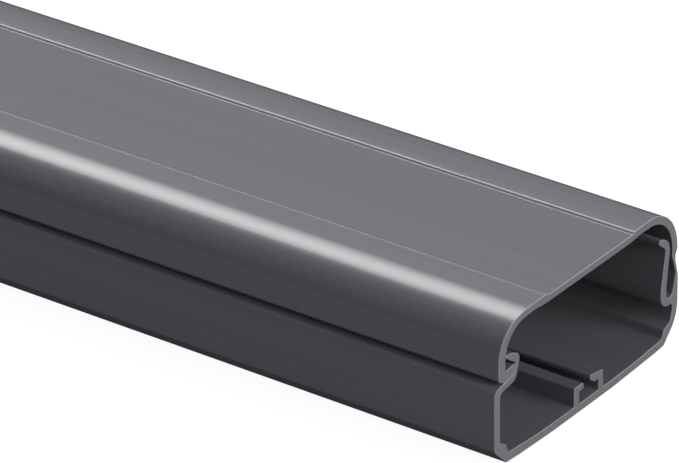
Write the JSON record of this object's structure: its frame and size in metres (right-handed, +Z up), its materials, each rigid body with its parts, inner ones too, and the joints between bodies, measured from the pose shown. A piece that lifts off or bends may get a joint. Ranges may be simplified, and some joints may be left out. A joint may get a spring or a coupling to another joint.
{
  "type": "cord cover raceway",
  "caption": "Length of latching cord cover duct with a hinged lid, rounded shoulders, chamfered base corners and a T-slot track inside.",
  "frame": {"origin": "middle of the length and width, on the flat band of the floor's underside", "axes": "+X along the duct, +Y across it towards the hinge, +Z up from the floor to the lid"},
  "size_m": [0.4, 0.057, 0.0284],
  "materials": {
    "duct": "dark anthracite grey rigid PVC, satin as extruded"
  },
  "bodies": {
    "root": {"raceway": "duct"}
  },
  "joints": []
}
